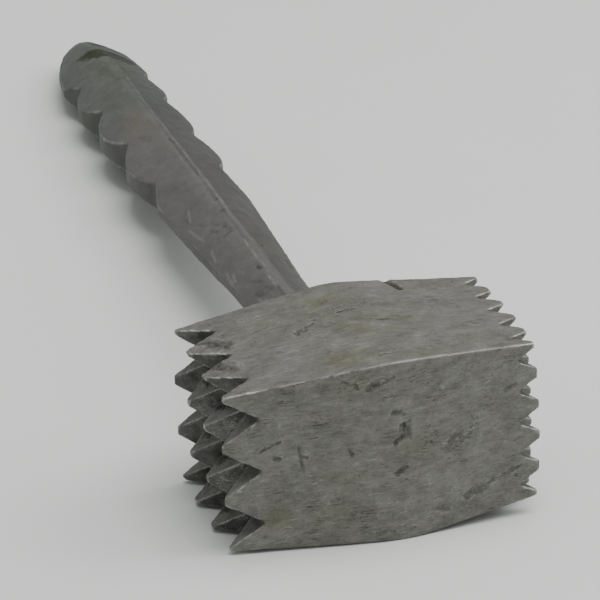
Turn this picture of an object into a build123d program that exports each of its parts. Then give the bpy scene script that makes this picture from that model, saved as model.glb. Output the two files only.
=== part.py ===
"""Cast aluminium meat tenderiser mallet: a toothed head, a finger-grip handle and the stud between.

Drawn in the head's own frame, in millimetres: X along the head (coarse teeth at -X, fine teeth
at +X), +Y towards the handle, Z up, origin at the head's centre.  The handle and the stud are
drawn in the handle's frame, which leaves the head slightly out of square.  The last step lays
the finished tool down as it comes to rest, with the origin under the middle of its box.
"""
import os
from math import sqrt

from build123d import *

# Head: a double-tapered square block.  Each long side is two flats that meet at a soft bend;
# each bend is given as its place along X and its distance from the head's axis.
HEAD_LENGTH = 70.0
END_HALF = 17.5             # half the side of each striking face
TOP_BEND = (1.1, 20.9)
UNDER_BEND = (6.3, 20.4)
FRONT_BEND = (0.3, 21.6)
BACK_BEND = (-0.5, 20.9)
BEND_RADIUS = 38.0
EDGE_ROUND = 0.4
BLOCK_REACH = 45.0          # reach of cutting extrusions, past every face

# Striking faces: V-grooves both ways leave rows of pyramids, and each face is slightly crowned.
# side of the face, pitch, grooves each way, flat on a tooth's tip, depth, radius of the crown
COARSE_FACE = (-1, 11.85, 3, 1.1, 8.5, 262.0)
FINE_FACE = (1, 7.15, 5, 0.7, 5.6, 161.0)
GROOVE_ROOT = 0.4           # flat at the bottom of every groove
MOUTH_REACH = 2.0           # how far a groove's drawing runs out past the face

# Handle: an eight-sided bar with a narrow flat along its top and bottom ridges.
HANDLE_ROOT = (2.1, 18.5, 0.0)      # centre of the root face, let into the back of the head
HANDLE_TILT = (-3.64, 0.0, -1.15)   # droop and sideways lean, out of square with the head
HANDLE_LENGTH = 243.5
RIDGE_HALF = 1.1
FACE_CROWN = 0.07           # how proud of flat the broad faces stand, against the half thickness
WALL_HALF = 1.2             # half height of the upright side walls
# distance from the root face, half width left and right, half thickness, ridge's sideways shift
STATIONS = (
    (0.0, 7.7, 7.2, 5.4, 0.0),
    (40.0, 7.8, 7.3, 5.4, 0.0),
    (55.0, 8.1, 7.8, 5.6, 0.0),
    (91.0, 9.9, 10.0, 6.0, 0.1),
    (114.0, 10.7, 11.3, 6.4, 0.3),
    (128.0, 12.8, 12.8, 6.7, 0.5),
    (160.0, 13.2, 13.2, 7.1, 0.9),
    (190.0, 13.0, 13.2, 7.2, 1.2),
    (205.0, 11.9, 12.6, 7.0, 1.2),
    (215.0, 10.5, 12.1, 6.6, 1.2),
    (223.0, 9.2, 11.6, 6.1, 1.3),
    (230.0, 7.4, 10.8, 5.4, 1.4),
    (236.0, 5.2, 8.8, 4.4, 1.5),
    (240.5, 2.8, 6.4, 3.2, 1.6),
    (HANDLE_LENGTH, 0.2, 4.0, 1.6, 1.8),
)

# Grip in plan: round lobes that meet at tight finger notches, not quite alike on the two sides.
# half width at the bottom of each notch, and its distance from the root
LEFT_NOTCHES = ((8.4, 123.5), (7.6, 152.7), (7.4, 179.4), (7.8, 201.4))
RIGHT_NOTCHES = ((9.0, 128.0), (8.7, 153.1), (8.7, 181.7), (9.2, 204.9))
LEFT_LOBE, RIGHT_LOBE = 11.5, 11.75     # half widths over the lobes
NOTCH_ROUND = 2.2
PLAN_REACH = 15.0           # where the plan's outline runs clear of the handle
RUN_IN = ((PLAN_REACH, 86.0), (11.6, 108.0))        # the curve that comes in to the first notch
RUN_OUT = ((11.2, 209.5), (PLAN_REACH, 226.0))      # and the one that leaves the last
CLEAR = 5.0                 # how far the outline runs past the handle's two ends
SCAR_RADIUS, SCAR_CENTRE = 9.0, (7.5, 234.0, 11.6)     # shallow hollow in the top of the heel

# Steel stud, M6: screwed into the head, and cast into the handle by its plain grooved end
STUD_RADIUS = 3.0
STUD_TIP, STUD_TAIL = -17.0, 40.0
DRILL_DEPTH = 2.0           # clear hole beyond the stud's tip
STUD_CHAMFER = 0.6
ANCHOR_START, ANCHOR_STEP, ANCHORS = 10.0, 5.0, 6
ANCHOR_WIDTH, ANCHOR_DEPTH = 1.5, 0.4

REST_ROLL = -2.8            # the tool rolls onto the coarse half of its under side


def block_outline(upper, lower):
    """Outline of the head across its length: two drafted flats each side, meeting at a bend."""
    end = HEAD_LENGTH / 2 + MOUTH_REACH
    with BuildLine() as outline:
        for (bend_x, reach), side in ((upper, 1), (lower, -1)):
            coarse_slope = (reach - END_HALF) / (bend_x + HEAD_LENGTH / 2)
            fine_slope = (reach - END_HALF) / (HEAD_LENGTH / 2 - bend_x)
            FilletPolyline(
                (-end, side * (reach - coarse_slope * (bend_x + end))),
                (bend_x, side * reach),
                (end, side * (reach - fine_slope * (end - bend_x))),
                radius=BEND_RADIUS,
            )
        corners = outline.vertices().sort_by(Axis.X)
        Line(corners[0], corners[1])
        Line(corners[-1], corners[-2])
    return outline.line


def runs_lengthways(edge):
    """Whether an edge runs along the head and not across it."""
    return abs((edge @ 1 - edge @ 0).X) > edge.length / 2


def groove(side, pitch, tip, depth):
    """Corner points of one V-groove, open past the striking face."""
    face_x = side * HEAD_LENGTH / 2
    mouth = (pitch - tip) / 2
    flare = mouth + MOUTH_REACH * (mouth - GROOVE_ROOT / 2) / depth
    root_x, open_x = face_x - side * depth, face_x + side * MOUTH_REACH
    return [(open_x, -flare), (root_x, -GROOVE_ROOT / 2), (root_x, GROOVE_ROOT / 2), (open_x, flare)]


def handle_section(left, right, half_thick, ridge_x):
    """One closed cross-section of the handle: ridge flat, crowned slope and side wall, four times."""
    ridge_half = min(RIDGE_HALF, (left + right) / 8)
    wall = min(WALL_HALF, half_thick / 2)
    drop, crown = half_thick - wall, FACE_CROWN * half_thick
    with BuildLine() as section:
        Line((ridge_x - ridge_half, half_thick), (ridge_x + ridge_half, half_thick))
        for side, wall_x in ((-1, -left), (1, right)):
            edge_x = ridge_x + side * ridge_half
            run = wall_x - edge_x
            slant = sqrt(run**2 + drop**2)
            middle = (
                (edge_x + wall_x) / 2 + side * crown * drop / slant,
                (half_thick + wall) / 2 + crown * abs(run) / slant,
            )
            ThreePointArc((edge_x, half_thick), middle, (wall_x, wall))
            Line((wall_x, wall), (wall_x, 0))
        mirror(about=Plane.XZ)
    return section.line


def grip_side(side, notches, lobe_half):
    """One side of the handle in plan: curves from notch to notch, each bulging over a lobe."""
    (start, run_in), (run_out, end) = RUN_IN, RUN_OUT
    ends = [start, *notches, end]
    lobes = [(lobe_half, (a + b) / 2) for (_, a), (_, b) in zip(notches, notches[1:])]
    with BuildLine() as line:
        for (half_a, a), (half, middle), (half_b, b) in zip(ends, [run_in, *lobes, run_out], ends[1:]):
            ThreePointArc((side * half_a, a), (side * half, middle), (side * half_b, b))
        Line((side * start[0], start[1]), (side * PLAN_REACH, -CLEAR))
        Line((side * end[0], end[1]), (side * PLAN_REACH, HANDLE_LENGTH + CLEAR))
    return line.line


def is_notch(corner):
    """Whether a corner of the plan is the bottom of a finger notch."""
    return abs(corner.X) < LEFT_LOBE


handle_frame = Location(HANDLE_ROOT, HANDLE_TILT)


def in_handle(plane):
    """A plane given in the handle's frame, placed in the head's."""
    return Plane(handle_frame * plane.location)


def across(distance):
    """The plane square to the handle's axis, this far from its root."""
    return in_handle(Plane.XZ.offset(-distance))


# ---- handle ----
with BuildPart() as handle:
    for distance, *section in STATIONS:
        with BuildSketch(across(distance)):
            add(handle_section(*section))
            make_face()
    loft(ruled=True)
    with BuildSketch(in_handle(Plane.XY)) as plan:
        with BuildLine():
            add(grip_side(-1, LEFT_NOTCHES, LEFT_LOBE))
            add(grip_side(1, RIGHT_NOTCHES, RIGHT_LOBE))
            for distance in (-CLEAR, HANDLE_LENGTH + CLEAR):
                Line((-PLAN_REACH, distance), (PLAN_REACH, distance))
        make_face()
        fillet(plan.vertices().filter_by(is_notch), NOTCH_ROUND)
    extrude(amount=BLOCK_REACH, both=True, mode=Mode.INTERSECT)
    with Locations(handle_frame):
        with Locations(SCAR_CENTRE):
            Sphere(SCAR_RADIUS, mode=Mode.SUBTRACT)

# ---- stud ----
with BuildPart() as threaded_stud:
    with BuildSketch(across(STUD_TIP)):
        Circle(STUD_RADIUS)
    extrude(amount=STUD_TIP - STUD_TAIL)
    chamfer(threaded_stud.edges().filter_by(GeomType.CIRCLE), STUD_CHAMFER)
    for i in range(ANCHORS):
        with BuildSketch(across(ANCHOR_START + ANCHOR_STEP * i)):
            Circle(STUD_RADIUS)
            Circle(STUD_RADIUS - ANCHOR_DEPTH, mode=Mode.SUBTRACT)
        extrude(amount=-ANCHOR_WIDTH, mode=Mode.SUBTRACT)

# the handle is cast round the stud's grooved end
with BuildPart() as cast_handle:
    add(handle.part)
    add(threaded_stud.part, mode=Mode.SUBTRACT)

# ---- head ----
with BuildPart() as head:
    with BuildSketch(Plane.XY):
        add(block_outline(BACK_BEND, FRONT_BEND))
        make_face()
    extrude(amount=BLOCK_REACH, both=True)
    with BuildSketch(Plane.XZ):
        add(block_outline(TOP_BEND, UNDER_BEND))
        make_face()
    extrude(amount=BLOCK_REACH, both=True, mode=Mode.INTERSECT)
    fillet(head.edges().filter_by(runs_lengthways), EDGE_ROUND)
    for side, pitch, count, tip, depth, crown in (COARSE_FACE, FINE_FACE):
        with Locations((side * (HEAD_LENGTH / 2 - crown), 0, 0)):
            Sphere(crown, mode=Mode.INTERSECT)
        for plane in (Plane.XY, Plane.XZ):
            with BuildSketch(plane):
                with GridLocations(0, pitch, 1, count):
                    Polygon(*groove(side, pitch, tip, depth), align=None)
            extrude(amount=BLOCK_REACH, both=True, mode=Mode.SUBTRACT)
    # recess that fits the handle's root, then the tapped hole for the stud
    add(handle.part, mode=Mode.SUBTRACT)
    with BuildSketch(across(0)):
        Circle(STUD_RADIUS)
    extrude(amount=DRILL_DEPTH - STUD_TIP, mode=Mode.SUBTRACT)

# ---- laid down at rest ----
roll = Location((0, 0, 0), (0, REST_ROLL, 0))
pieces = {"head": head.part, "handle": cast_handle.part, "threaded_stud": threaded_stud.part}
box = Compound([roll * piece for piece in pieces.values()]).bounding_box()
to_rest = Location((-box.center().X, -box.center().Y, -box.min.Z)) * roll
os.makedirs("parts", exist_ok=True)
for name, piece in pieces.items():
    with BuildPart() as placed:
        with Locations(to_rest):
            add(piece)
    placed.part.label = name
    export_step(placed.part, f"parts/{name}.step")
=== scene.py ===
"""A cast aluminium meat mallet lying on a pale surface, seen from above the front of its head.

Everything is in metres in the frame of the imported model: the surface is z = 0, +Y runs along the
handle, and +X from the coarse teeth towards the fine ones.  The head and the handle are fine
meshes made from the CAD pieces, worn and pitted by code.  Wear is worked out in millimetres in
each piece's own frame: the head's is centred in it and square to it, and the handle's runs along
+Y from its root, with X across and Z up.
"""

from itertools import product
from math import radians

import bpy
import numpy as np
from mathutils import Matrix, Vector


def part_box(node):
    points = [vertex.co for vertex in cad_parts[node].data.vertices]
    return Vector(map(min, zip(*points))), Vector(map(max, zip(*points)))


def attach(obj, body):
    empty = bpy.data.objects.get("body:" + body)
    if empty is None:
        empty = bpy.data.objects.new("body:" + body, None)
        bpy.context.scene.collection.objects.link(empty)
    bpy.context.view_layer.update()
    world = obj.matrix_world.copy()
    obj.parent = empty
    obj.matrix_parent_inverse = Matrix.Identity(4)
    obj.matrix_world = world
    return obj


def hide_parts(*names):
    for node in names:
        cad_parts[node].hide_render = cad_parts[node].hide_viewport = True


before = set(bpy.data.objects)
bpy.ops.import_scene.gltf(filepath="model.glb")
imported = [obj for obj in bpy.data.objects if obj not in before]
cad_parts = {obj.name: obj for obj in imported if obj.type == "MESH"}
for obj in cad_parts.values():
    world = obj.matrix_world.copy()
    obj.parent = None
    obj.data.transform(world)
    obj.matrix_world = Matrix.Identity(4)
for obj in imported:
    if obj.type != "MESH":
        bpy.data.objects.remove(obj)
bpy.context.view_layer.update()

MM = 0.001

# ---- the two frames, as the CAD lays them ----
HEAD_CENTRE_IN_BOX = Vector((35.19, 21.34, 20.01)) * MM     # from the low corner of the head's box
HEAD_ROLL = radians(-2.8)
HANDLE_ROOT = Vector((2.1, 18.5, 0)) * MM
HANDLE_DROOP, HANDLE_LEAN = radians(-3.64), radians(-1.15)
head_frame = Matrix.Translation(Vector(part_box("head")[0]) + HEAD_CENTRE_IN_BOX)
head_frame = head_frame @ Matrix.Rotation(HEAD_ROLL, 4, "Y")
handle_frame = head_frame @ Matrix.Translation(HANDLE_ROOT)
handle_frame = handle_frame @ Matrix.Rotation(HANDLE_DROOP, 4, "X") @ Matrix.Rotation(HANDLE_LEAN, 4, "Z")

# ---- camera ----
CAMERA_FROM_HEAD = Vector((-237.46, -698.08, 358.34)) * MM
CAMERA_FORWARD = Vector((0.27933, 0.86754, -0.41151))
CAMERA_RIGHT = Vector((0.95263, -0.30409, 0.00556))
CAMERA_LENS, CAMERA_SENSOR = 235.64, 36.0

# ---- mesh resolution ----
HEAD_VOXEL = 0.30 * MM
HANDLE_VOXEL = 0.35 * MM


# ---- patterns, all fixed in space ----
def cell_hash(cell, salt):
    """A repeatable random number from 0 to 1 for every lattice cell."""
    x, y, z = cell.T
    mixed = (x * 73856093) ^ (y * 19349663) ^ (z * 83492791) ^ (salt * 2654435761)
    mixed = (mixed ^ (mixed >> 13)) * 1274126177 & 0xFFFFFFFF
    mixed = (mixed ^ (mixed >> 16)) * 668265263 & 0xFFFFFFFF
    return (mixed & 0xFFFFFF) / 0xFFFFFF


def noise(points, scale, seed):
    """Smooth random values from -1 to 1; scale is the grain's size, or one size per axis."""
    p = points / np.asarray(scale, float)
    cell = np.floor(p).astype(np.int64)
    f = p - cell
    f = f * f * (3 - 2 * f)
    total = np.zeros(len(points))
    for corner in range(8):
        step = np.array([corner & 1, corner >> 1 & 1, corner >> 2 & 1])
        total += np.prod(np.where(step, f, 1 - f), axis=1) * cell_hash(cell + step, seed)
    return total * 2 - 1


def fractal(points, scale, seed, octaves=3):
    """Noise summed over finer and finer grains."""
    total, size = np.zeros(len(points)), 1.0
    for octave in range(octaves):
        total += size * noise(points + 17.3 * octave, np.asarray(scale, float) * size, seed + octave)
        size /= 2
    return total


def ramp(values, low, high):
    """0 below low, 1 above high, smooth between."""
    t = np.clip((values - low) / (high - low), 0, 1)
    return t * t * (3 - 2 * t)


def speckles(points, cell, chance, radius, seed):
    """Scattered round pits: 1 at a pit's middle, 0 outside. Cell and radius are in millimetres."""
    p = points / cell
    base = np.floor(p).astype(np.int64)
    best = np.zeros(len(points))
    for step in product((-1, 0, 1), repeat=3):
        c = base + step
        middle = c + np.stack([cell_hash(c, seed + n) for n in (1, 2, 3)], axis=1)
        present = cell_hash(c, seed + 4) < chance
        size = radius / cell * (0.5 + cell_hash(c, seed + 5))
        away = np.linalg.norm(p - middle, axis=1) / size
        best = np.maximum(best, np.where(present, 1 - away * away, 0))
    return np.clip(best, 0, 1)


def mark(points, start, end, width, ragged=0.38, seed=5):
    """A dent or stain along a line on the first two axes: 1 on it, fading to a torn edge a width away."""
    start, end = np.asarray(start, float), np.asarray(end, float)
    run = end - start
    flat = points[:, :2]
    along = np.clip((flat - start) @ run / max(run @ run, 1e-9), 0, 1)
    away = np.linalg.norm(flat - start - along[:, None] * run, axis=1)
    near = away < 3 * width
    torn = points[near]
    away[near] += width * ragged * (fractal(torn, 1.1, seed) + 0.5 * noise(torn, 0.4, seed + 9))
    return ramp(-away, -1.25 * width, -0.1 * width)


def marks_on(points, facing, marks):
    """Depth in millimetres and darkness of a list of marks on the side that faces this way."""
    depth, dark = np.zeros(len(points)), np.zeros(len(points))
    crumbs = 0.62 + 0.38 * ramp(fractal(points, 0.7, 7, 2), -0.5, 0.6)
    for start, end, width, deep, black in marks:
        mask = mark(points, start, end, width) * facing * crumbs
        depth, dark = np.maximum(depth, deep * mask), np.maximum(dark, black * mask)
    return depth, dark


# ---- meshes ----
def dense_copy(node, name, voxel, smooth):
    """An even, fine quad mesh over a CAD node's shape, with its crisp edges softened."""
    piece = bpy.data.objects.new(name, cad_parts[node].data.copy())
    bpy.context.scene.collection.objects.link(piece)
    remesh = piece.modifiers.new("remesh", "REMESH")
    remesh.mode, remesh.voxel_size, remesh.use_smooth_shade = "VOXEL", voxel, True
    soften = piece.modifiers.new("soften", "SMOOTH")
    soften.factor, soften.iterations = 0.5, smooth
    graph = bpy.context.evaluated_depsgraph_get()
    mesh = bpy.data.meshes.new_from_object(piece.evaluated_get(graph))
    piece.modifiers.clear()
    piece.data = mesh
    mesh.materials.clear()
    return piece


class Sculpt:
    """A mesh's points and normals in a piece's frame, in millimetres, to push and to paint."""

    def __init__(self, mesh, place):
        self.mesh = mesh
        self.turn, self.origin = np.array(place.to_3x3()), np.array(place.translation)
        self.count = len(mesh.vertices)
        edges = np.empty(len(mesh.edges) * 2, np.int32)
        mesh.edges.foreach_get("vertices", edges)
        self.edges = edges.reshape(-1, 2)
        self.neighbours = np.bincount(self.edges.ravel(), minlength=self.count)
        self.refresh()

    def read(self, what):
        values = np.empty(self.count * 3)
        self.mesh.vertices.foreach_get(what, values)
        return values.reshape(-1, 3)

    def refresh(self):
        self.p = (self.read("co") - self.origin) @ self.turn / MM
        self.n = self.read("normal") @ self.turn

    def push(self, distance):
        """Moves every point along its normal, in millimetres."""
        moved = (self.p + self.n * distance[:, None]) * MM
        self.mesh.vertices.foreach_set("co", (moved @ self.turn.T + self.origin).ravel())
        self.mesh.update()
        self.refresh()

    def spread(self, values, times):
        """Values averaged with their neighbours, this many times."""
        for _ in range(times):
            total = np.bincount(self.edges[:, 0], values[self.edges[:, 1]], self.count)
            total += np.bincount(self.edges[:, 1], values[self.edges[:, 0]], self.count)
            values = (values + total) / (self.neighbours + 1)
        return values

    def bulge(self, times):
        """How far each point stands out from the average round it, in millimetres."""
        middle = np.stack([self.spread(self.p[:, axis], times) for axis in range(3)], axis=1)
        return ((self.p - middle) * self.n).sum(axis=1)

    def paint(self, name, values):
        """Stores a mask from 0 to 1 on the points, for the material to read."""
        layer = self.mesh.attributes.new(name, "FLOAT", "POINT")
        layer.data.foreach_set("value", np.clip(values, 0, 1).astype(np.float32))


# ---- head: cast block with a dressed, scarred surface ----
# marks are (start, end, half width, depth, darkness), flat on their face in the head's frame
TOP_MARKS = (       # along X and Y
    ((-11.8, 1.4), (-11.0, 2.2), 1.1, 0.20, 0.95),
    ((-10.6, 1.6), (-10.0, 2.0), 0.9, 0.15, 0.8),
    ((-9.6, 2.8), (-7.6, 3.8), 0.6, 0.10, 0.7),
    ((-7.4, 5.2), (-6.6, 5.4), 0.5, 0.08, 0.6),
    ((5.2, 0.0), (9.0, -0.4), 0.7, 0.15, 0.85),
    ((0.5, 1.6), (5.0, 0.4), 0.45, 0.06, 0.5),
    ((9.0, 0.2), (15.0, 0.3), 0.5, 0.08, 0.5),
    ((-1.4, 6.2), (2.4, 6.4), 0.6, 0.12, 0.75),
    ((-2.0, 8.4), (0.0, 8.6), 0.5, 0.05, 0.5),
    ((-29.4, 7.4), (-26.6, 4.2), 2.4, 0.05, 1.0),
    ((-30.4, -4.0), (-28.2, -6.2), 2.1, 0.05, 0.95),
    ((-28.0, -3.4), (-26.8, -4.4), 1.0, 0.05, 0.55),
    ((-27.0, 9.0), (-25.4, 9.4), 0.6, 0.05, 0.5),
    ((-20.5, 6.4), (-14.0, 8.2), 0.55, 0.06, 0.45),
    ((-22.0, 3.4), (-17.0, 5.0), 0.4, 0.04, 0.4),
    ((-8.0, 12.4), (-6.4, 12.6), 0.8, 0.06, 0.5),
    ((20.0, 12.0), (24.0, 12.4), 0.5, 0.04, 0.35),
    ((11.0, -15.0), (12.4, -15.4), 0.5, 0.06, 0.5),
    ((0.0, -16.5), (3.5, -16.8), 0.7, 0.08, 0.5),
)
NICK = ((12.4, 21.5), (15.0, 14.5), 1.0)     # in the back edge of the top
NICK_DEPTH = 0.45
FRONT_MARKS = (     # along X and Z
    ((1.0, 9.4), (3.6, 8.8), 0.9, 0.15, 0.7),
    ((3.0, 6.0), (4.0, 4.4), 1.1, 0.25, 0.9),
    ((3.4, 4.0), (1.2, 2.4), 0.8, 0.18, 0.75),
    ((4.4, 7.4), (4.6, 2.8), 0.45, 0.10, 0.6),
    ((-4.2, 15.6), (-2.4, 16.6), 1.0, 0.18, 0.85),
    ((-6.8, 17.2), (-6.2, 16.0), 0.6, 0.12, 0.7),
    ((-1.2, 16.4), (1.6, 17.6), 0.6, 0.08, 0.5),
    ((-9.2, 18.0), (-8.2, 17.6), 0.5, 0.08, 0.6),
    ((-8.6, 2.6), (-8.0, 1.4), 0.6, 0.15, 0.7),
    ((-26.6, 4.6), (-22.6, 6.2), 0.55, 0.15, 0.7),
    ((-23.6, 2.8), (-22.8, 2.4), 0.7, 0.22, 0.85),
    ((-18.9, 4.6), (-18.0, -1.4), 0.45, 0.12, 0.6),
    ((-18.6, 2.8), (-17.2, 2.0), 0.6, 0.10, 0.55),
    ((13.4, 0.0), (15.6, 1.0), 1.3, 0.12, 0.5),
    ((16.2, -0.4), (18.0, 0.6), 0.9, 0.08, 0.45),
    ((18.4, 2.0), (19.6, 2.6), 0.7, 0.06, 0.4),
    ((1.4, -4.6), (3.6, -3.4), 0.75, 0.12, 0.7),
    ((20.0, -12.4), (29.0, -9.8), 0.9, 0.12, 0.45),
    ((17.0, -13.4), (21.0, -12.8), 1.3, 0.12, 0.45),
    ((8.6, -14.6), (12.6, -15.6), 1.0, 0.08, 0.35),
    ((-6.6, -17.0), (0.5, -17.8), 0.6, 0.08, 0.35),
    ((26.4, 8.6), (28.4, 9.4), 0.8, 0.12, 0.5),
    ((24.4, 14.0), (26.0, 14.4), 0.7, 0.06, 0.3),
    ((11.0, 12.4), (13.0, 13.0), 0.7, 0.06, 0.3),
    ((-14.0, -9.4), (-11.0, -8.6), 0.4, 0.05, 0.3),
)
# olive stains are (centre, reach along each axis, strength)
HEAD_STAINS = (
    ((-6.0, -14.0, 20.0), (10.0, 8.0, 4.0), 1.0),
    ((9.0, -17.0, 20.0), (8.0, 5.0, 4.0), 0.9),
    ((2.0, 0.0, 20.5), (19.0, 14.0, 4.0), 0.8),
    ((-4.0, 12.0, 20.5), (14.0, 10.0, 4.0), 0.8),
    ((-16.0, 7.0, 19.5), (11.0, 8.0, 4.0), 0.55),
    ((18.0, 16.0, 19.0), (8.0, 6.0, 4.0), 0.6),
    ((22.0, -12.0, 18.5), (7.0, 6.0, 4.0), 0.45),
    ((-24.0, -18.5, -10.0), (7.0, 4.0, 6.0), 0.75),
    ((-10.0, -20.0, -4.0), (10.0, 4.0, 4.5), 0.55),
    ((-12.0, -20.0, -13.0), (10.0, 4.0, 5.0), 0.5),
    ((6.0, -21.0, 0.5), (9.0, 4.0, 4.5), 0.45),
    ((-6.0, -21.0, 17.0), (14.0, 4.0, 4.0), 0.6),
    ((4.0, 20.0, 2.0), (16.0, 4.0, 9.0), 0.6),
    ((-4.0, 4.0, -20.0), (15.0, 9.0, 4.0), 0.6),
)
HALF_LENGTH = 35.0                          # of the head, from end to end
COARSE_TOOTH, FINE_TOOTH = 8.5, 5.6         # how tall the teeth are
COARSE_ROOT = COARSE_TOOTH - HALF_LENGTH    # where the grooves of each end bottom out, along X
FINE_ROOT = HALF_LENGTH - FINE_TOOTH
END_HALF = 17.5                             # half the height and width of the block at its ends
# where each side stands furthest out: along X, and along Z or Y
TOP_BEND, UNDER_BEND = (1.1, 20.9), (6.3, -20.4)
FRONT_BEND, BACK_BEND = (0.3, -21.6), (-0.5, 20.9)
BEND_REACH = 3.7                            # the bend is rounded this far either way
HEAD_SMOOTHING = 2                          # rounds of smoothing after the remesh
HEAD_PIT, CHIP_DEPTH = 0.08, 0.22


def side_height(along, bend):
    """How far a side of the block stands from its middle line."""
    at, height = bend[0], abs(bend[1])
    left, right = (height - END_HALF) / (HALF_LENGTH + at), (height - END_HALF) / (HALF_LENGTH - at)
    sharp = END_HALF + np.minimum((along + HALF_LENGTH) * left, (HALF_LENGTH - along) * right)
    near = np.clip(BEND_REACH - np.abs(along - at), 0, None)
    return sharp - near**2 * (left + right) / (4 * BEND_REACH)


def long_edge(points, across, up):
    """1 along the edge between two sides of the block, 0 from half a millimetre off it."""
    off_across = np.sign(across[1]) * points[:, 1] - side_height(points[:, 0], across)
    off_up = np.sign(up[1]) * points[:, 2] - side_height(points[:, 0], up)
    return ramp(-np.hypot(off_across, off_up), -0.46, -0.14)


def stain_mask(points, stains, seed):
    """Soft patches with ragged edges."""
    total = np.zeros(len(points))
    for centre, reach, strength in stains:
        away = np.linalg.norm((points - centre) / np.asarray(reach), axis=1)
        total = np.maximum(total, strength * ramp(-away, -1.0, -0.2))
    return total * (0.6 + 0.7 * fractal(points, (2.4, 1.4, 1.4), seed, 4))


def wear_head(work):
    """Dents, pits and chips the head's mesh, and paints where it is bright, dirty or stained, and painted
    shade in its hollows and on its teeth.
    """
    p, n = work.p, work.n
    on_side = ramp(-np.abs(n[:, 0]), -0.45, -0.25)
    in_coarse = ramp(COARSE_ROOT - p[:, 0], -0.5, 1.5)
    in_fine = ramp(p[:, 0] - FINE_ROOT, -0.5, 1.0)
    on_teeth = np.maximum(in_coarse, in_fine)
    front_edge = long_edge(p, FRONT_BEND, TOP_BEND)
    other_pairs = (BACK_BEND, TOP_BEND), (FRONT_BEND, UNDER_BEND), (BACK_BEND, UNDER_BEND)
    other_edges = np.max([long_edge(p, *pair) for pair in other_pairs], axis=0)
    crease = ramp(np.minimum(np.abs(n[:, 1]), np.abs(n[:, 2])), 0.30, 0.46)     # between tooth flanks

    top_depth, top_dark = marks_on(p, ramp(n[:, 2], 0.4, 0.7), TOP_MARKS)
    front_depth, front_dark = marks_on(p[:, [0, 2, 1]], ramp(-n[:, 1], 0.4, 0.7), FRONT_MARKS)
    nick = mark(p, *NICK, ragged=0.1) * ramp(p[:, 2], 12, 16)
    mark_dark = np.max([top_dark, front_dark, nick], axis=0)
    pits = speckles(p + 0.25 * noise(p, 0.8, 51)[:, None], 3.0, 0.30, 0.45, 60)
    pits = np.maximum(pits, 0.8 * speckles(p, 1.5, 0.20, 0.28, 70))

    # the casting is uneven, its sides are dressed lengthways and its teeth are rough
    shift = 0.08 * fractal(p, 15, 11) + 0.03 * fractal(p, 4.0, 21)
    shift += on_side * (0.020 * fractal(p, (5, 0.8, 0.8), 31, 2) + 0.014 * fractal(p, 0.9, 35, 2))
    shift += (in_coarse + in_fine) * 0.09 * fractal(p, 2.6, 41, 2)
    shift -= HEAD_PIT * pits + np.maximum(top_depth, front_depth) + NICK_DEPTH * nick
    work.push(shift)
    # chips along the edges, where the surface stands out
    chips = ramp(work.bulge(4), 0.05, 0.12) * ramp(fractal(work.p, 1.3, 81, 2), 0.35, 1.0)
    work.push(-CHIP_DEPTH * chips)

    p, n = work.p, work.n
    edge, broad = work.spread(work.bulge(3), 3), work.bulge(12)
    # bright: the teeth's ridges, the block's long edges and a thin rim round each mark
    wear = on_teeth * np.maximum(crease, ramp(edge, 0.040, 0.078)) * ramp(fractal(p, 1.4, 95, 3), -0.9, 0.3)
    rubbed = 0.05 + 0.40 * ramp(p[:, 0], -8, 6)
    patchy = 0.3 + 0.7 * ramp(fractal(p, (3.0, 2.0, 2.0), 96, 3), -0.5, 0.5)
    wear = np.maximum(wear, np.maximum(rubbed * front_edge, 0.2 * other_edges) * patchy)
    rim = ramp(mark_dark, 0.02, 0.12) * ramp(-mark_dark, -0.34, -0.16)
    wear = np.maximum(wear, 0.34 * rim * ramp(fractal(p, (1.2, 0.7, 0.7), 98, 2), -0.3, 0.4))
    work.paint("wear", wear)
    # dirt in marks and pits, darker along the front edge over the coarse half, and painted shade in hollows
    streak = 0.7 + 0.4 * fractal(p, (5, 0.6, 0.6), 91, 2)
    dull = front_edge * ramp(-p[:, 0], -6, 8) * ramp(fractal(p, (1.6, 0.8, 0.8), 99, 2), -0.2, 0.4)
    hollow = ramp(-broad, 0.03, 0.30)
    work.paint("grime_and_shade", np.max([mark_dark, 0.4 * pits * streak, 0.45 * hollow, 0.8 * dull], axis=0))
    # painted shade on the teeth: darker down between them and facing forward or down, lighter facing up
    depth_coarse = np.clip((p[:, 0] + HALF_LENGTH) / COARSE_TOOTH, 0, 1)
    depth_fine = np.clip((HALF_LENGTH - p[:, 0]) / FINE_TOOTH, 0, 1)
    off_side = 1 - ramp(-np.abs(n[:, 0]), -0.42, -0.30)
    flank = np.maximum(in_coarse * (0.20 + 0.62 * depth_coarse), in_fine * (0.15 + 0.5 * depth_fine))
    flank += in_coarse * (0.24 * ramp(-n[:, 1], 0.2, 0.6) - 0.50 * ramp(n[:, 2], 0.3, 0.7))
    flank += on_teeth * 0.30 * ramp(-n[:, 2], -0.1, 0.5)
    work.paint("flank", off_side * flank * (0.85 + 0.4 * fractal(p, 2.4, 97)))
    work.paint("stain", stain_mask(p, HEAD_STAINS, 101))
    work.paint("tone", 0.5 + 0.16 * fractal(p, (8, 5, 5), 111) + 0.26 * fractal(p, (2.2, 1.0, 1.0), 113))


head = dense_copy("head", "head_casting", HEAD_VOXEL, HEAD_SMOOTHING)
wear_head(Sculpt(head.data, head_frame))

# ---- handle: rougher casting with a raised ridge line ----
# where the ridge line's two edges run: distance from the root, left edge, right edge
RIDGE_LINE = (
    (0, -1.5, 1.3), (44, -1.5, 1.3), (71, -0.5, 1.6), (100, 0.3, 1.7), (115, 0.7, 1.9),
    (144, 0.9, 1.9), (163, 1.3, 2.1), (187, 1.8, 2.6), (203, 2.4, 3.1), (222, 2.9, 3.6),
)
RIDGE_HEIGHT, RIDGE_SOFT = 0.28, 0.22
RIDGE_END = 221.0
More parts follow.
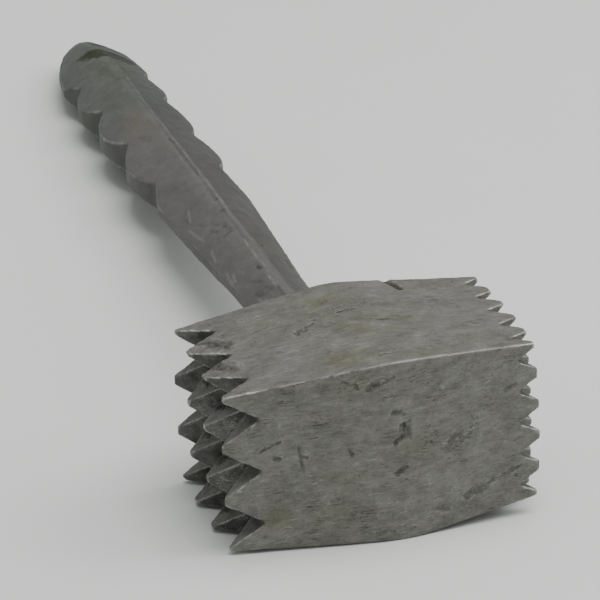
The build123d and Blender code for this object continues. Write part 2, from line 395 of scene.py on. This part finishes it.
# (start, end, half width, depth, darkness), across and along the upper side
HANDLE_MARKS = (
    ((-2.6, 83.0), (-1.4, 80.0), 0.8, 0.22, 0.6),
    ((-3.6, 78.4), (-1.4, 78.8), 0.9, 0.22, 0.6),
    ((0.3, 99.9), (0.3, 98.7), 0.6, 0.35, 0.9),
    ((-0.3, 92.6), (-0.2, 91.2), 0.6, 0.30, 0.9),
    ((-5.3, 84.0), (-4.4, 82.4), 0.7, 0.20, 0.55),
    ((-6.4, 91.0), (-5.6, 88.0), 0.7, 0.12, 0.4),
    ((-4.4, 88.0), (-3.2, 85.0), 0.7, 0.10, 0.35),
    ((-2.3, 55.6), (-1.8, 53.8), 0.65, 0.30, 1.0),
    ((2.4, 68.4), (2.6, 66.8), 0.6, 0.25, 0.85),
    ((1.6, 57.8), (1.7, 56.4), 0.5, 0.20, 0.7),
    ((-4.6, 51.0), (-3.2, 47.0), 0.7, 0.15, 0.6),
    ((-5.8, 44.6), (-4.6, 41.4), 0.9, 0.15, 0.5),
    ((-3.2, 44.0), (-2.4, 41.0), 0.6, 0.12, 0.5),
    ((-6.6, 38.0), (-5.8, 33.0), 0.9, 0.12, 0.5),
    ((-0.6, 73.4), (-0.2, 70.2), 0.5, 0.20, 0.5),
    ((-0.1, 107.0), (0.1, 100.6), 0.7, 0.10, 0.4),
    ((0.55, 144.0), (0.45, 116.0), 0.50, 0.12, 0.6),
    ((-1.8, 206.0), (0.8, 194.0), 2.0, 0.10, 0.4),
    ((-5.0, 152.0), (-4.0, 147.0), 1.0, 0.15, 0.35),
    ((5.4, 52.0), (5.0, 50.0), 0.8, 0.12, 0.4),
    ((6.4, 62.0), (6.0, 57.0), 0.9, 0.10, 0.35),
    ((-8.4, 98.0), (-7.6, 95.0), 0.8, 0.12, 0.4),
)
# (start, end, half width), across and along the upper side
HANDLE_SCRATCHES = (
    ((-7.6, 62.0), (-8.2, 53.0), 0.35),
    ((-7.4, 76.0), (-8.0, 70.0), 0.4),
    ((-6.8, 60.0), (-7.2, 56.0), 0.3),
    ((-5.8, 41.5), (-4.6, 35.5), 0.3),
    ((-8.6, 92.0), (-7.4, 82.0), 0.4),
    ((-5.0, 40.0), (-4.0, 34.0), 0.3),
    ((-6.2, 101.0), (-7.4, 95.0), 0.35),
)
# patches are (centre, reach along each axis, strength)
WARM_PATCH = (((-3.4, 160.0, 6.0), (6.0, 17.0, 6.0), 1.0),)
OLIVE_PATCHES = (
    ((5.0, 70.0, 4.0), (5.0, 22.0, 5.0), 0.9),
    ((-1.0, 66.0, 6.0), (4.0, 12.0, 4.0), 0.6),
    ((2.4, 204.0, 6.0), (7.0, 14.0, 6.0), 0.8),
    ((1.0, 140.0, 6.0), (5.0, 12.0, 5.0), 0.5),
)
HEEL_GRIME = ((0.2, 221.0), (6.4, 218.0), 4.6)      # in the hollow on the heel, given as a scratch is
BRIGHT_STRETCH = (40, 74)       # where the ridge line's left edge is rubbed bright, from the root
HANDLE_SMOOTHING = 4            # rounds of smoothing after the remesh
HANDLE_PIT = 0.12
MARK_STRENGTH = 0.72            # the handle's marks are fainter than the head's


def wear_handle(work):
    """Raises the handle's ridge line, dents and pits its mesh, and paints where it is bright or dirty, and
    painted shade in its hollows, on its side walls and on its right-facing slopes.
    """
    p, n = work.p, work.n
    distance, left, right = np.transpose(RIDGE_LINE)
    left, right = np.interp(p[:, 1], distance, left), np.interp(p[:, 1], distance, right)
    wander = 0.14 * fractal(p, (50, 5, 50), 201)
    ridge = ramp(p[:, 0] - left - wander, 0, RIDGE_SOFT) * ramp(right - p[:, 0] + wander, 0, 2 * RIDGE_SOFT)
    ridge *= ramp(np.abs(n[:, 2]), 0.5, 0.7) * ramp(RIDGE_END - p[:, 1], 0, 4)
    upper = ramp(n[:, 2], 0.2, 0.5)
    mark_depth, mark_dark = marks_on(p, upper, HANDLE_MARKS)
    scratches = upper * np.max([mark(p, *scratch) for scratch in HANDLE_SCRATCHES], axis=0)
    heel_grime = upper * mark(p, *HEEL_GRIME, ragged=0.3, seed=211)
    pits = speckles(p + 0.3 * noise(p, 0.9, 251)[:, None], 4.2, 0.3, 0.55, 260)

    shift = 0.13 * fractal(p, 17, 221) + 0.045 * fractal(p, 4.2, 231) + 0.02 * fractal(p, 1.3, 241, 2)
    shift += RIDGE_HEIGHT * ridge
    shift -= HANDLE_PIT * pits + mark_depth + 0.12 * heel_grime
    work.push(shift)

    p, n = work.p, work.n
    edge, broad = work.spread(work.bulge(3), 3), work.bulge(14)
    # bright: edges that stand out, but near the ridge line only its left edge over one stretch
    wear = ramp(edge, 0.030, 0.065) * ramp(fractal(p, 2.2, 271, 3), -0.7, 0.5)
    start, end = BRIGHT_STRETCH
    bright_line = ramp(p[:, 1], start, start + 4) * ramp(-p[:, 1], -end, 4 - end)
    near_ridge = ramp(p[:, 0] - left, -1.5, -0.7) * ramp(right - p[:, 0], -1.5, -0.7)
    wear *= 1 - near_ridge * (0.75 - 0.75 * bright_line * ramp(left - p[:, 0], -0.6, -0.2))
    rim = ramp(-np.abs(p[:, 0] - left), -0.42, -0.12) * upper * bright_line
    rim *= 0.4 + 0.6 * ramp(fractal(p, (1, 3, 1), 273, 2), -0.4, 0.4)
    work.paint("wear", np.max([wear, 0.8 * rim, 0.36 * scratches], axis=0))
    # painted shade in hollows, with dirt in marks and pits
    hollow = ramp(-broad, 0.03, 0.25)
    work.paint("grime_and_shade", np.max([MARK_STRENGTH * mark_dark, 0.3 * pits, 0.4 * hollow], axis=0))
    # painted shade on the upright side walls and on the right-facing slopes
    upright = ramp(-np.abs(n[:, 2]), -0.45, -0.2)
    right_face = ramp(n[:, 0], 0.08, 0.30) * ramp(n[:, 2], 0.2, 0.4)
    work.paint("flank", 0.5 * upright + 0.5 * right_face)
    work.paint("moss", ramp(heel_grime, 0.05, 0.50))
    work.paint("stain", np.maximum(stain_mask(p, OLIVE_PATCHES, 281), heel_grime))
    work.paint("warm", stain_mask(p, WARM_PATCH, 291))
    work.paint("far", ramp(p[:, 1], 130, 185))
    tone = 0.40 + 0.28 * fractal(p, (5, 9, 5), 301) + 0.24 * fractal(p, (1.8, 2.4, 1.8), 305)
    ridge_tone = 0.42 + 0.50 * ramp(p[:, 1], 75, 115)
    work.paint("tone", tone * (1 - ridge) + ridge_tone * ridge)


handle = dense_copy("handle", "handle_casting", HANDLE_VOXEL, HANDLE_SMOOTHING)
wear_handle(Sculpt(handle.data, handle_frame))


# ---- materials ----
BUMP_STRENGTH = 0.8


class Nodes:
    """Short forms for building one material's nodes."""

    def __init__(self, name):
        self.material = bpy.data.materials.new(name)
        self.material.use_nodes = True
        self.tree = self.material.node_tree
        self.shader = self.tree.nodes["Principled BSDF"]

    def new(self, kind, **settings):
        node = self.tree.nodes.new(kind)
        for key, value in settings.items():
            setattr(node, key, value)
        return node

    def feed(self, socket, value):
        if isinstance(value, bpy.types.NodeSocket):
            self.tree.links.new(value, socket)
        else:
            socket.default_value = value

    def mask(self, name):
        return self.new("ShaderNodeAttribute", attribute_name=name).outputs["Fac"]

    def noise(self, grain, detail=4.0, rough=0.6, distort=0.0, turn=(0, 0, 0), shift=0.0):
        """Noise with a grain of this size in metres, along each axis of the frame or of a turned one."""
        place = self.new("ShaderNodeTexCoord").outputs["Object"]
        turned = self.new("ShaderNodeMapping", vector_type="POINT")
        self.feed(turned.inputs["Vector"], place)
        self.feed(turned.inputs["Rotation"], turn)
        mapping = self.new("ShaderNodeMapping")
        self.feed(mapping.inputs["Vector"], turned.outputs["Vector"])
        self.feed(mapping.inputs["Location"], [shift] * 3)
        self.feed(mapping.inputs["Scale"], [1 / size for size in grain])
        texture = self.new("ShaderNodeTexNoise")
        self.feed(texture.inputs["Vector"], mapping.outputs["Vector"])
        for key, value in (("Scale", 1.0), ("Detail", detail), ("Roughness", rough), ("Distortion", distort)):
            self.feed(texture.inputs[key], value)
        return texture.outputs["Fac"]

    def math(self, operation, *values):
        node = self.new("ShaderNodeMath", operation=operation)
        for socket, value in zip(node.inputs, values):
            self.feed(socket, value)
        return node.outputs[0]

    def range(self, value, low, high, out_low=0.0, out_high=1.0):
        node = self.new("ShaderNodeMapRange")
        for socket, number in zip(node.inputs, (value, low, high, out_low, out_high)):
            self.feed(socket, number)
        return node.outputs["Result"]

    def mix(self, amount, first, second, blend="MIX"):
        node = self.new("ShaderNodeMix", data_type="RGBA", blend_type=blend)
        node.clamp_factor = True
        colours = [socket for socket in node.inputs if socket.type == "RGBA"]
        self.feed(node.inputs[0], amount)
        for socket, value in zip(colours, (first, second)):
            self.feed(socket, value if isinstance(value, bpy.types.NodeSocket) else (*value, 1))
        return [socket for socket in node.outputs if socket.type == "RGBA"][0]

    def bump(self, height, distance, below=None):
        node = self.new("ShaderNodeBump")
        self.feed(node.inputs["Strength"], BUMP_STRENGTH)
        self.feed(node.inputs["Distance"], distance)
        self.feed(node.inputs["Height"], height)
        if below is not None:
            self.feed(node.inputs["Normal"], below)
        return node.outputs["Normal"]


FLANK_SHADE = (0.034, 0.035, 0.033)          # painted shade on the teeth's flanks, and on the handle's side walls and right-facing slopes
DIRT_AND_SHADE = (0.024, 0.024, 0.019)            # dirt in marks and pits, and painted shade in hollows
BARE_METAL = (0.40, 0.40, 0.38)
OLIVE_TINT = (0.87, 0.89, 0.64)
GREEN_TINT = (0.86, 0.94, 0.88)
MOSS = (0.028, 0.034, 0.012)
WARM_GREY = (0.185, 0.160, 0.115)
HAIR_HALF, HAIR_EDGE = 0.006, 0.026     # how near the middle of its noise a hairline is full, and ends
# hairline scratches: turn about each axis, shift, the patches that they fade in over, tint, strength
HAIRLINES = (
    ((0, 0.14, 0.10), 3.7, (0.48, 0.66), (0.38, 0.38, 0.36), 0.52),
    ((0, 0.05, 0.04), 5.9, (0.54, 0.36), (0.036, 0.036, 0.030), 0.72),
    ((0, 0.30, 0.22), 1.3, (0.52, 0.70), (0.36, 0.36, 0.34), 0.40),
    ((0, -0.12, -0.08), 7.7, (0.50, 0.34), (0.040, 0.040, 0.034), 0.50),
)
# specks: the range of the grit that they fade in over, tint, strength
SPECKS = (
    ((0.65, 0.72), (0.34, 0.34, 0.32), 0.6),
    ((0.36, 0.30), (0.030, 0.030, 0.025), 0.8),
)


def cast_metal(name, dark, light, streak_grain, hair_grain, mottle_grain, relief, extra=None):
    """Dull, handled aluminium: mottled and scratched grey, dark pits, olive stains, bright edges, and painted
    shade in hollows and on flanks.
    """
    k = Nodes(name)
    streaks = k.noise([size * MM for size in streak_grain], 4.0, 0.7)
    mottle = k.noise([size * MM for size in mottle_grain], 6.0, 0.65, 0.4)
    grit = k.noise([0.55 * MM] * 3, 4.0, 0.75)
    patches = k.noise([6 * MM] * 3, 3.0, 0.6, shift=9.1)

    level = k.math("MULTIPLY_ADD", k.range(streaks, 0.34, 0.66), 0.12, 0.12)
    for pattern, share in (
        (k.mask("tone"), 0.40),
        (k.range(mottle, 0.36, 0.64), 0.14),
        (k.range(grit, 0.38, 0.62), 0.12),
    ):
        level = k.math("ADD", level, k.math("MULTIPLY", pattern, share))
    colour = k.mix(level, dark, light)
    if extra:
        colour = extra(k, colour)
    stained = k.mix(1.0, colour, OLIVE_TINT, "MULTIPLY")
    colour = k.mix(k.math("MULTIPLY", k.mask("stain"), 0.8), colour, stained)
    # painted shade on the teeth's flanks and on the handle's side walls and right-facing slopes
    colour = k.mix(k.mask("flank"), colour, FLANK_SHADE)
    # hairline scratches run where drawn-out noise crosses its middle, in patches
    hair = [size * MM for size in hair_grain]
    for turn, shift, fade, tint, strength in HAIRLINES:
        line = k.math("ABSOLUTE", k.math("SUBTRACT", k.noise(hair, 1.0, 0.5, turn=turn, shift=shift), 0.5))
        line = k.math("MULTIPLY", k.range(line, HAIR_HALF, HAIR_EDGE, 1.0, 0.0), k.range(patches, *fade))
        colour = k.mix(k.math("MULTIPLY", line, strength * relief), colour, tint)
    for fade, tint, strength in SPECKS:
        colour = k.mix(k.math("MULTIPLY", k.range(grit, *fade), strength * relief), colour, tint)
    # dirt in marks and pits, and painted shade in hollows
    torn = k.math("MULTIPLY", k.range(k.mask("grime_and_shade"), 0.03, 0.90), k.range(grit, 0.40, 0.62, 1.0, 0.5))
    colour = k.mix(torn, colour, DIRT_AND_SHADE)
    rubbed = k.math("MULTIPLY", k.mask("wear"), k.range(grit, 0.35, 0.6, 0.45, 0.95))
    k.feed(k.shader.inputs["Base Color"], k.mix(rubbed, colour, BARE_METAL))
    k.feed(k.shader.inputs["Metallic"], 0.7)

    rough = k.range(level, 0.0, 1.0, 0.66, 0.50)
    rough = k.math("ADD", rough, k.math("MULTIPLY", k.mask("grime_and_shade"), 0.22))
    rough = k.math("SUBTRACT", rough, k.math("MULTIPLY", k.mask("wear"), 0.14))
    k.feed(k.shader.inputs["Roughness"], rough)
    normal = k.bump(streaks, 0.07 * MM * relief)
    normal = k.bump(grit, 0.10 * MM * relief, normal)
    k.feed(k.shader.inputs["Normal"], normal)
    return k.material


def handle_tints(k, colour):
    """The handle's grey turns greener towards its end, with one warm patch in the grip."""
    colour = k.mix(k.mask("far"), colour, k.mix(1.0, colour, GREEN_TINT, "MULTIPLY"))
    colour = k.mix(k.math("MULTIPLY", k.mask("moss"), 0.85), colour, MOSS)
    return k.mix(k.math("MULTIPLY", k.mask("warm"), 0.6), colour, WARM_GREY)


# grains are in millimetres along each axis
head_metal = cast_metal(
    "head_metal",
    dark=(0.070, 0.068, 0.060),
    light=(0.266, 0.259, 0.237),
    streak_grain=(5, 0.5, 0.5),
    hair_grain=(7, 0.65, 0.65),
    mottle_grain=(2.6, 1.5, 1.5),
    relief=1.0,
)
handle_metal = cast_metal(
    "handle_metal",
    dark=(0.101, 0.097, 0.093),
    light=(0.216, 0.207, 0.201),
    streak_grain=(1.6, 3.0, 1.6),
    hair_grain=(1.2, 9, 1.2),
    mottle_grain=(3.5, 5, 3.5),
    relief=0.2,
    extra=handle_tints,
)

for piece, node, slot, metal in (
    (head, "head", "head_casting", head_metal),
    (handle, "handle", "handle_casting", handle_metal),
):
    piece.data.materials.append(metal)
    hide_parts(node)
    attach(piece, "root")

# the hidden stud keeps its CAD shape
turned_steel = Nodes("turned_steel")
rings = turned_steel.noise([4 * MM, 0.15 * MM, 4 * MM])
ringed = turned_steel.mix(rings, (0.30, 0.30, 0.31), (0.48, 0.48, 0.48))
turned_steel.feed(turned_steel.shader.inputs["Base Color"], ringed)
turned_steel.feed(turned_steel.shader.inputs["Metallic"], 1.0)
turned_steel.feed(turned_steel.shader.inputs["Roughness"], turned_steel.range(rings, 0, 1, 0.25, 0.45))
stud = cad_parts["threaded_stud"]
stud.data.materials.clear()
stud.data.materials.append(turned_steel.material)

# ---- surface ----
FLOOR_SIZE = 8
FLOOR_DARK, FLOOR_LIGHT = (0.626, 0.646, 0.615), (0.646, 0.664, 0.635)
bpy.ops.mesh.primitive_plane_add(size=FLOOR_SIZE)
floor = bpy.context.object
floor.name = "floor"
paper = Nodes("floor_paper")
grain = paper.noise([40 * MM] * 3, 3.0)
paper.feed(paper.shader.inputs["Base Color"], paper.mix(grain, FLOOR_DARK, FLOOR_LIGHT))
paper.feed(paper.shader.inputs["Roughness"], 0.9)
floor.data.materials.append(paper.material)


# ---- light ----
def soft_light(name, place, size, power):
    """A round light aimed at the middle of the surface."""
    data = bpy.data.lights.new(name, "AREA")
    data.shape, data.size, data.energy = "DISK", size, power
    light = bpy.data.objects.new(name, data)
    bpy.context.scene.collection.objects.link(light)
    light.location = place
    light.rotation_euler = (-Vector(place)).to_track_quat("-Z", "Y").to_euler()


soft_light("overhead", (0.17, -0.20, 1.2), size=1.05, power=13.2)
soft_light("right", (1.05, -0.20, 0.90), size=0.9, power=8.5)

world = bpy.data.worlds.new("studio")
bpy.context.scene.world = world
world.use_nodes = True
sky = world.node_tree
direction = sky.nodes.new("ShaderNodeTexCoord")
split = sky.nodes.new("ShaderNodeSeparateXYZ")
sky.links.new(direction.outputs["Generated"], split.inputs[0])


def room_slope(axis, start, low, high):
    """The room's brightness along one axis: low at start, and high at 1."""
    slope = sky.nodes.new("ShaderNodeMapRange")
    for name, number in (("From Min", start), ("From Max", 1.0), ("To Min", low), ("To Max", high)):
        slope.inputs[name].default_value = number
    sky.links.new(split.outputs[axis], slope.inputs["Value"])
    return slope.outputs["Result"]


# the room is brighter overhead than near the horizon, and brighter at the front
strength = sky.nodes.new("ShaderNodeMath")
strength.operation = "MULTIPLY"
sky.links.new(room_slope("Z", 0.0, 0.31, 0.71), strength.inputs[0])
sky.links.new(room_slope("Y", -1.0, 1.22, 0.78), strength.inputs[1])
backdrop = sky.nodes["Background"]
backdrop.inputs["Color"].default_value = (0.97, 0.99, 1.0, 1)
sky.links.new(strength.outputs[0], backdrop.inputs["Strength"])

# ---- camera ----
camera_data = bpy.data.cameras.new("camera")
camera_data.lens, camera_data.sensor_width = CAMERA_LENS, CAMERA_SENSOR
camera_data.clip_start, camera_data.clip_end = 0.01, 20
camera = bpy.data.objects.new("camera", camera_data)
bpy.context.scene.collection.objects.link(camera)
forward = CAMERA_FORWARD.normalized()
right = (CAMERA_RIGHT - CAMERA_RIGHT.project(forward)).normalized()
turn = Matrix((right, right.cross(forward), -forward)).transposed()
camera.matrix_world = Matrix.Translation(head_frame.translation + CAMERA_FROM_HEAD) @ turn.to_4x4()
bpy.context.scene.camera = camera
